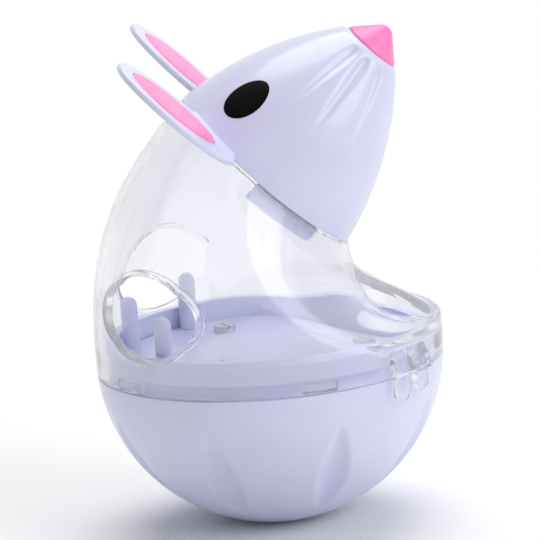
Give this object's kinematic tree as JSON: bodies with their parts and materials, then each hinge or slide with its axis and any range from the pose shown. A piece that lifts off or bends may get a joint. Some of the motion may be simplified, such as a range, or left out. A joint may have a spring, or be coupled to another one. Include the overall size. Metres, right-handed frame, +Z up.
{
  "type": "cat treat ball",
  "caption": "Mouse-shaped tumbler treat dispenser: a weighted white half-ball base, a clear body with treat outlets that twists on it, and a white head with ears and a pink nose.",
  "frame": {"origin": "centre of the flat foot under the ball", "axes": "+Z up along the axis of the ball, +X the way the mouse faces, +Y to the mouse's left"},
  "size_m": [0.08, 0.0842, 0.1128],
  "materials": {
    "white_plastic": "glossy white plastic with a faint violet tint",
    "clear_plastic": "clear colourless plastic",
    "pink_plastic": "satin pink plastic",
    "black_plastic": "glossy black plastic",
    "iron": "bare cast iron",
    "screw_steel": "zinc-plated steel"
  },
  "bodies": {
    "base": {"base_bowl": "white_plastic", "ballast_weight": "iron", "ballast_screw": "screw_steel", "treat_floor": "white_plastic", "floor_screws": "screw_steel", "floor_pegs": "white_plastic"},
    "upper": {"clear_shell": "clear_plastic", "head_shell": "white_plastic", "nose_cap": "pink_plastic", "ear_right": "white_plastic", "ear_left": "white_plastic", "ear_inlay_right": "pink_plastic", "ear_inlay_left": "pink_plastic", "eye_right": "black_plastic", "eye_left": "black_plastic"}
  },
  "joints": [
    {"name": "upper_twist", "type": "hinge", "parent": "base", "child": "upper", "pos_m": [0, 0, 0.0369], "axis": [0, 0, -1], "range_deg": [0, 15]}
  ]
}
